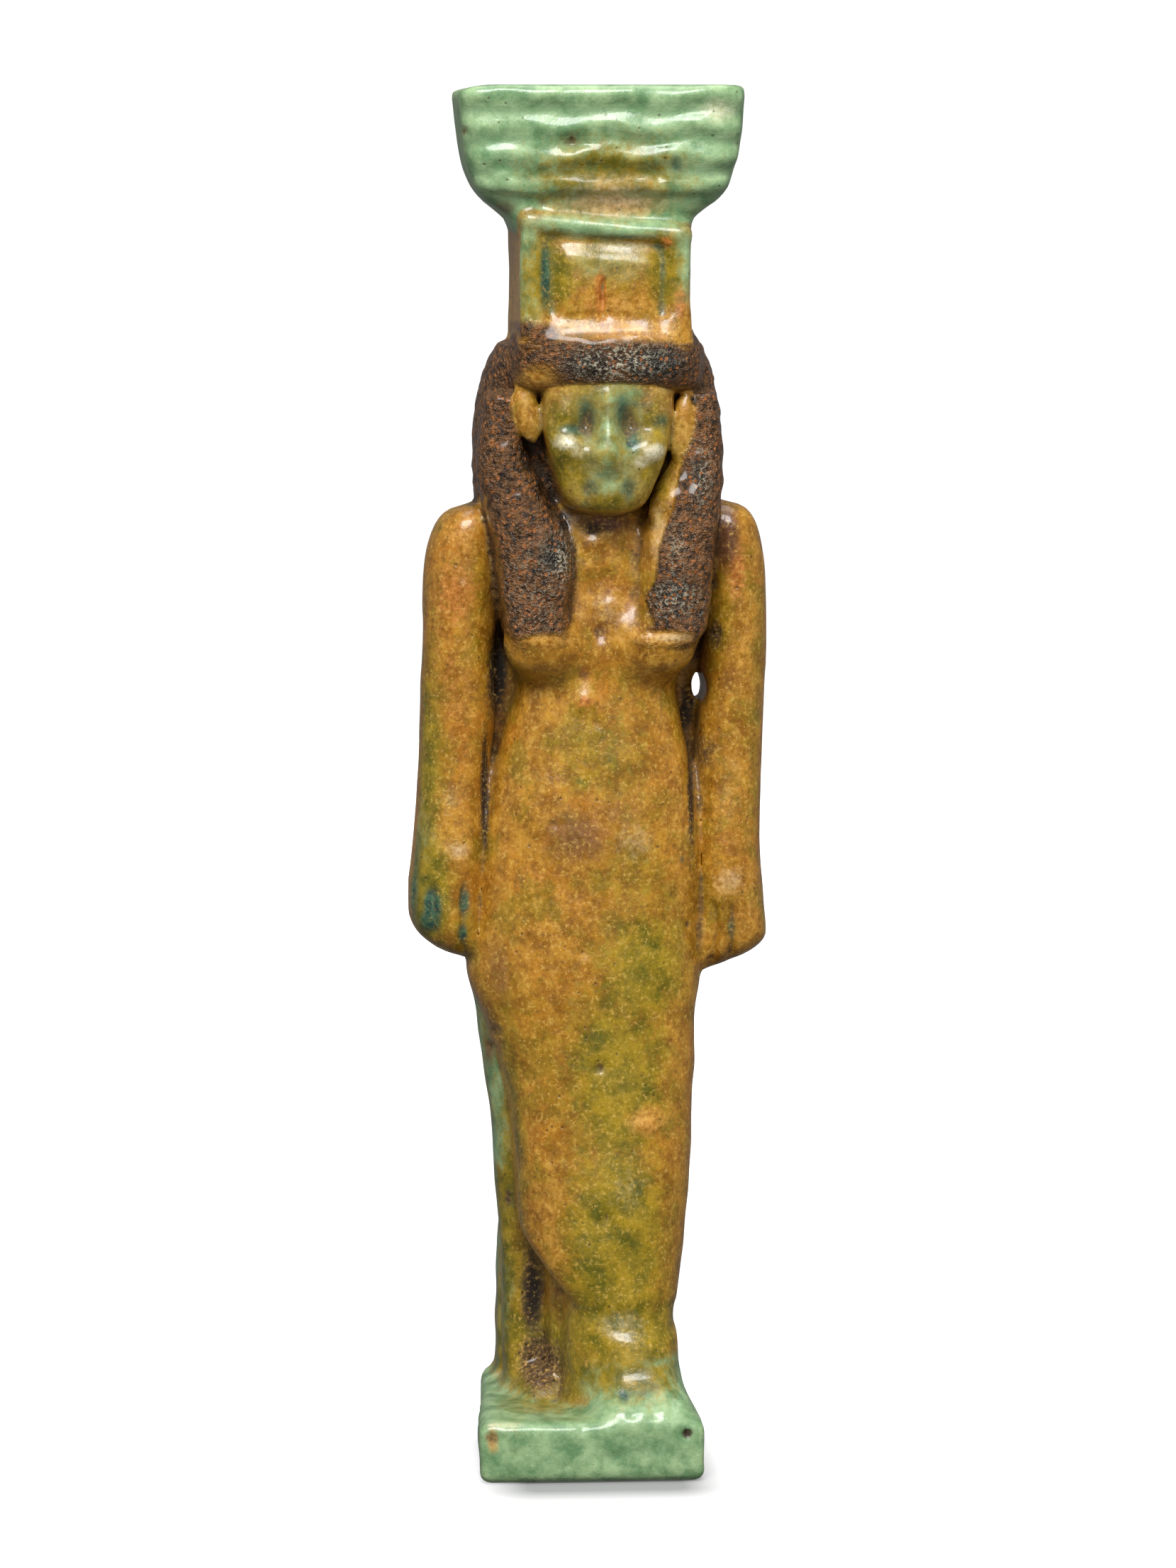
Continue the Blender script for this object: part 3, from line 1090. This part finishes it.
# name: (size in millimetres, detail, roughness). The grit is crushed quartz of 0.15 to 0.3 mm.
NOISES = {
    "stain": (3.2, 4, 0.6),
    "mottle": (1.1, 4, 0.65),
    "grain": (0.34, 3, 0.6),
    "grit": (0.2, 2, 0.7),
    "frost": (0.12, 2, 0.6),
}
noise = {
    name: add(
        tree,
        "ShaderNodeTexNoise",
        {"Vector": in_mm, "Scale": 1 / size, "Detail": detail, "Roughness": rough},
    ).outputs["Fac"]
    for name, (size, detail, rough) in NOISES.items()
}
STREAK_SIZE = 0.5
STREAK_STRETCH = (1, 1, 0.75)
drawn_out = add(tree, "ShaderNodeVectorMath", {0: in_mm, 1: STREAK_STRETCH}, operation="MULTIPLY")
streaks = add(
    tree,
    "ShaderNodeTexNoise",
    {"Vector": drawn_out, "Scale": 1 / STREAK_SIZE, "Detail": 4, "Roughness": 0.75},
)
noise["streak"] = streaks.outputs["Fac"]
print("noises:", ", ".join(noise))

# %% The ochre base
TINT_SIZE = 2.1
middle = add(tree, "ShaderNodeMapRange", {0: noise["mottle"], 1: 0.38, 2: 0.64})
warm = add(tree, "ShaderNodeMapRange", {0: noise["stain"], 1: 0.5, 2: 0.66, 4: 0.6})
tint = add(
    tree,
    "ShaderNodeTexNoise",
    {"Vector": in_mm, "Scale": 1 / TINT_SIZE, "Detail": 3, "Roughness": 0.7},
)
olive = add(tree, "ShaderNodeMapRange", {0: tint, 1: 0.5, 2: 0.64, 4: 0.55})
dark_streaks = add(tree, "ShaderNodeMapRange", {0: noise["streak"], 1: 0.47, 2: 0.34, 4: 0.55})
light_streaks = add(tree, "ShaderNodeMapRange", {0: noise["streak"], 1: 0.54, 2: 0.66, 4: 0.7})
colour = linear("#8A590A")
for amount, hex_code in [
    (middle, "#BA8424"),
    (warm, "#BA751C"),
    (olive, "#80700E"),
    (dark_streaks, "#745213"),
    (light_streaks, "#CC9B3E"),
]:
    over = add(tree, "ShaderNodeMix", {0: amount, 6: colour, 7: linear(hex_code)}, data_type="RGBA")
    colour = over.outputs[2]
print("nodes in the base:", len(tree.nodes))

# %% Layers over the base
# name: (dark shade, light shade, noise between them, noise that breaks the edge, how ragged it is)
LAYERS = {
    "sea": ("#658B5E", "#9CB988", "mottle", "mottle", 0.5),
    "green": ("#5C5804", "#A08416", "mottle", "streak", 1.1),
    "bare": ("#9A6412", "#D39E44", "grain", "mottle", 0.8),
    "rust": ("#96541A", "#C98236", "grain", "grain", 0.9),
    "violet": ("#56331F", "#7C5335", "grain", "mottle", 0.9),
    "deep": ("#21423A", "#476A4C", "grain", "mottle", 0.8),
    "pale": ("#C9BE92", "#EEE8CE", "grit", "grain", 0.3),
    "wig": ("#24170B", "#7C522A", "grain", "grain", 0.35),
    "black": ("#100E0C", "#3A342A", "grain", "grain", 0.9),
    "soil": ("#33230F", "#7C5C32", "grit", "grain", 0.9),
    "dark": ("#0D0906", "#2A1B0D", "grain", "grain", 0.5),
}
attribute = {}
for name in masks:
    attribute[name] = add(tree, "ShaderNodeAttribute", attribute_name=name).outputs["Fac"]
amounts = {}
for name, (dark, light, shade_noise, edge_noise, ragged) in LAYERS.items():
    shade = add(tree, "ShaderNodeMapRange", {0: noise[shade_noise], 1: 0.36, 2: 0.64})
    own = add(tree, "ShaderNodeMix", {0: shade, 6: linear(dark), 7: linear(light)}, data_type="RGBA")
    rough_edge = add(
        tree,
        "ShaderNodeMath",
        {0: noise[edge_noise], 1: ragged, 2: attribute[name]},
        operation="MULTIPLY_ADD",
    )
    amount = add(
        tree,
        "ShaderNodeMapRange",
        {0: rough_edge, 1: 0.5 * ragged + 0.12, 2: 0.5 * ragged + 0.78},
        interpolation_type="SMOOTHSTEP",
    )
    amounts[name] = amount.outputs[0]
    layer = add(
        tree, "ShaderNodeMix", {0: amount, 6: colour, 7: own.outputs[2]}, data_type="RGBA"
    )
    colour = layer.outputs[2]
print("layers:", ", ".join(LAYERS))

# %% Glints and rusty flecks in the wig
FLECK_SIZE = 0.26
glint = add(tree, "ShaderNodeMapRange", {0: noise["grit"], 1: 0.49, 2: 0.62, 4: 0.9})
glint = add(tree, "ShaderNodeMath", {0: glint, 1: attribute["glint"]}, operation="MULTIPLY")
glint = add(tree, "ShaderNodeMath", {0: glint, 1: amounts["wig"]}, operation="MULTIPLY")
flecks = add(tree, "ShaderNodeTexVoronoi", {"Vector": in_mm, "Scale": 1 / FLECK_SIZE, "Randomness": 1})
fleck_size = add(tree, "ShaderNodeMapRange", {0: flecks.outputs["Distance"], 1: 0.46, 2: 0.2})
fleck_kind = add(tree, "ShaderNodeSeparateColor", {0: flecks.outputs["Color"]})
clustered = add(tree, "ShaderNodeMath", {0: fleck_kind.outputs[0], 1: noise["mottle"]}, operation="ADD")
rusty = add(tree, "ShaderNodeMapRange", {0: clustered, 1: 0.95, 2: 1.15, 4: 0.8})
rusty = add(tree, "ShaderNodeMath", {0: rusty, 1: fleck_size}, operation="MULTIPLY")
rusty = add(tree, "ShaderNodeMath", {0: rusty, 1: amounts["wig"]}, operation="MULTIPLY")
print("flecks in mm:", FLECK_SIZE)

# %% Quartz grains, dark specks and shaded hollows
SPECK_SPACING = 0.9
sandy = add(tree, "ShaderNodeMapRange", {0: noise["grit"], 1: 0.56, 2: 0.68, 4: 0.5})
glassy = add(tree, "ShaderNodeMath", {0: amounts["wig"], 1: amounts["sea"]}, operation="MAXIMUM")
gritty = add(tree, "ShaderNodeMapRange", {0: glassy, 3: 1.0, 4: 0.1})
sandy = add(tree, "ShaderNodeMath", {0: sandy, 1: gritty}, operation="MULTIPLY")
dusky = add(tree, "ShaderNodeMapRange", {0: noise["grit"], 1: 0.44, 2: 0.32, 4: 0.38})
dusky = add(tree, "ShaderNodeMath", {0: dusky, 1: gritty}, operation="MULTIPLY")
specks = add(tree, "ShaderNodeTexVoronoi", {"Vector": in_mm, "Scale": 1 / SPECK_SPACING, "Randomness": 1})
speck_size = add(tree, "ShaderNodeMapRange", {0: specks.outputs["Distance"], 1: 0.1, 2: 0.05, 4: 0.6})
shadow = add(tree, "ShaderNodeMath", {0: attribute["hollow"], 1: 0.35}, operation="MULTIPLY")
for amount, hex_code in [
    (glint, "#C2B9A0"),
    (rusty, "#A8632A"),
    (sandy, "#D6AF58"),
    (dusky, "#4A3408"),
    (speck_size, "#43301A"),
    (shadow, "#4A3314"),
]:
    over = add(tree, "ShaderNodeMix", {0: amount, 6: colour, 7: linear(hex_code)}, data_type="RGBA")
    colour = over.outputs[2]
tree.links.new(colour, shader.inputs["Base Color"])
print("nodes for colour:", len(tree.nodes))

# %% Gloss: glassy on the body, patchy on the crust, dull where soil sits
gloss = add(tree, "ShaderNodeMapRange", {0: noise["grain"], 1: 0.35, 2: 0.65, 3: 0.3, 4: 0.5})
crusty = add(tree, "ShaderNodeMapRange", {0: noise["mottle"], 1: 0.4, 2: 0.6, 3: 0.2, 4: 0.45})
rough_wig = add(tree, "ShaderNodeMix", {0: amounts["wig"], 2: gloss.outputs[0], 3: crusty.outputs[0]})
dull = add(tree, "ShaderNodeMath", {0: amounts["soil"], 1: attribute["hollow"]}, operation="MAXIMUM")
rough_soil = add(tree, "ShaderNodeMix", {0: dull, 2: rough_wig.outputs[0], 3: 0.85})
tree.links.new(rough_soil.outputs[0], shader.inputs["Roughness"])
print("nodes with gloss:", len(tree.nodes))

# %% Fine relief, from the waves of the glaze down to its pinholes
crust_height = add(tree, "ShaderNodeMath", {0: noise["grit"], 1: amounts["wig"]}, operation="MULTIPLY")
under = {}
# (height, strength, depth in millimetres, whether it goes down)
for height, strength, depth, down in [
    (noise["mottle"], 0.5, 0.12, False),
    (noise["grain"], 0.35, 0.06, False),
    (noise["frost"], 0.4, 0.04, False),
    (crust_height, 1.0, 0.3, False),
    (speck_size, 0.5, 0.08, True),
]:
    inputs = {"Height": height, "Strength": strength, "Distance": depth * MM, **under}
    under = {"Normal": add(tree, "ShaderNodeBump", inputs, invert=down)}
tree.links.new(under["Normal"].outputs[0], shader.inputs["Normal"])
print("nodes in the finish:", len(tree.nodes))

# %% A glassy skin over a slightly clear paste
for name, value in {
    "IOR": 1.5,
    "Coat Weight": 0.5,
    "Coat Roughness": 0.14,
    "Subsurface Weight": 0.12,
    "Subsurface Radius": (1.0, 0.75, 0.45),
    "Subsurface Scale": 0.5 * MM,
}.items():
    shader.inputs[name].default_value = value
figure.data.materials.append(glaze)
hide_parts("figurine")
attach(figure, "root")
print("the figure stands for the solid of", len(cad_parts), "node")

# %% [markdown]
# ## Soil in the recesses
# Crumbs of soil still sit round the foot that is set back and in the deep gap beside her right arm. They
# follow a surface and repeat, so Geometry Nodes scatter them: points on the faces that the soil
# attribute marks, a small rough grain on each, turned and sized at random from a fixed seed.

# %% The tree that scatters grains
grains = bpy.data.node_groups.new("grains_on_surface", "GeometryNodeTree")
grains.interface.new_socket("Geometry", in_out="INPUT", socket_type="NodeSocketGeometry")
for label, kind, value in [
    ("Grains per square metre", "NodeSocketFloat", 9e6),
    ("Smallest grain", "NodeSocketFloat", 0.05 * MM),
    ("Largest grain", "NodeSocketFloat", 0.15 * MM),
    ("Seed", "NodeSocketInt", 5),
    ("Finish", "NodeSocketMaterial", None),
]:
    socket = grains.interface.new_socket(label, in_out="INPUT", socket_type=kind)
    if value is not None:
        socket.default_value = value
grains.interface.new_socket("Geometry", in_out="OUTPUT", socket_type="NodeSocketGeometry")
given = add(grains, "NodeGroupInput")
where = add(grains, "GeometryNodeInputNamedAttribute", {"Name": "soil"}, data_type="FLOAT")
thick = add(grains, "ShaderNodeMapRange", {0: where, 1: 0.55, 2: 0.9})
density = add(
    grains, "ShaderNodeMath", {0: thick, 1: given.outputs["Grains per square metre"]}, operation="MULTIPLY"
)
spots = add(
    grains,
    "GeometryNodeDistributePointsOnFaces",
    {"Mesh": given.outputs["Geometry"], "Density": density, "Seed": given.outputs["Seed"]},
    distribute_method="RANDOM",
)
size = add(
    grains,
    "FunctionNodeRandomValue",
    {2: given.outputs["Smallest grain"], 3: given.outputs["Largest grain"], 8: given.outputs["Seed"]},
    data_type="FLOAT",
)
# the turn is in radians, and the seeds are fixed
turn = add(
    grains,
    "FunctionNodeRandomValue",
    {0: (0, 0, 0), 1: (6.3, 6.3, 6.3), 8: 9},
    data_type="FLOAT_VECTOR",
)
stretch = add(
    grains,
    "FunctionNodeRandomValue",
    {0: (0.6, 0.6, 0.4), 1: (1.3, 1.1, 0.9), 8: 12},
    data_type="FLOAT_VECTOR",
)
scale = add(grains, "ShaderNodeVectorMath", {0: stretch, 3: size.outputs[1]}, operation="SCALE")
crumb = add(grains, "GeometryNodeMeshIcoSphere", {"Radius": 1.0, "Subdivisions": 1})
scattered = add(
    grains,
    "GeometryNodeInstanceOnPoints",
    {"Points": spots.outputs["Points"], "Instance": crumb.outputs["Mesh"], "Rotation": turn, "Scale": scale},
)
real = add(grains, "GeometryNodeRealizeInstances", {0: scattered})
finished = add(grains, "GeometryNodeSetMaterial", {"Geometry": real, "Material": given.outputs["Finish"]})
add(grains, "NodeGroupOutput", {0: finished})
print("grain tree nodes:", len(grains.nodes))

# %% Soil: dry, crumbled earth, so it is dull and rough
soil = bpy.data.materials.new("dry_soil")
soil.use_nodes = True
tree = soil.node_tree
shader = tree.nodes["Principled BSDF"]
coordinates = add(tree, "ShaderNodeTexCoord")
in_mm = add(
    tree, "ShaderNodeVectorMath", {0: coordinates.outputs["Object"], 1: (1 / MM,) * 3}, operation="MULTIPLY"
)
earth = add(tree, "ShaderNodeTexNoise", {"Vector": in_mm, "Scale": 1 / 0.5, "Detail": 3})
tone = add(tree, "ShaderNodeMapRange", {0: earth, 1: 0.35, 2: 0.65})
earth_colour = add(
    tree, "ShaderNodeMix", {0: tone, 6: linear("#35250F"), 7: linear("#7F6035")}, data_type="RGBA"
)
tree.links.new(earth_colour.outputs[2], shader.inputs["Base Color"])
shader.inputs["Roughness"].default_value = 0.9
dust = add(tree, "ShaderNodeBump", {"Height": earth, "Strength": 0.5, "Distance": 0.05 * MM})
tree.links.new(dust.outputs[0], shader.inputs["Normal"])
print("nodes in the soil:", len(tree.nodes))

# %% Scatter it
crumbs = bpy.data.objects.new("soil_crumbs", figure.data.copy())
bpy.context.collection.objects.link(crumbs)
scatter = crumbs.modifiers.new("scatter", "NODES")
scatter.node_group = grains
for item in grains.interface.items_tree:
    if item.in_out == "INPUT" and item.name == "Finish":
        scatter[item.identifier] = soil
settled(crumbs)
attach(crumbs, "root")
print("soil crumbs:", len(crumbs.data.polygons), "faces")
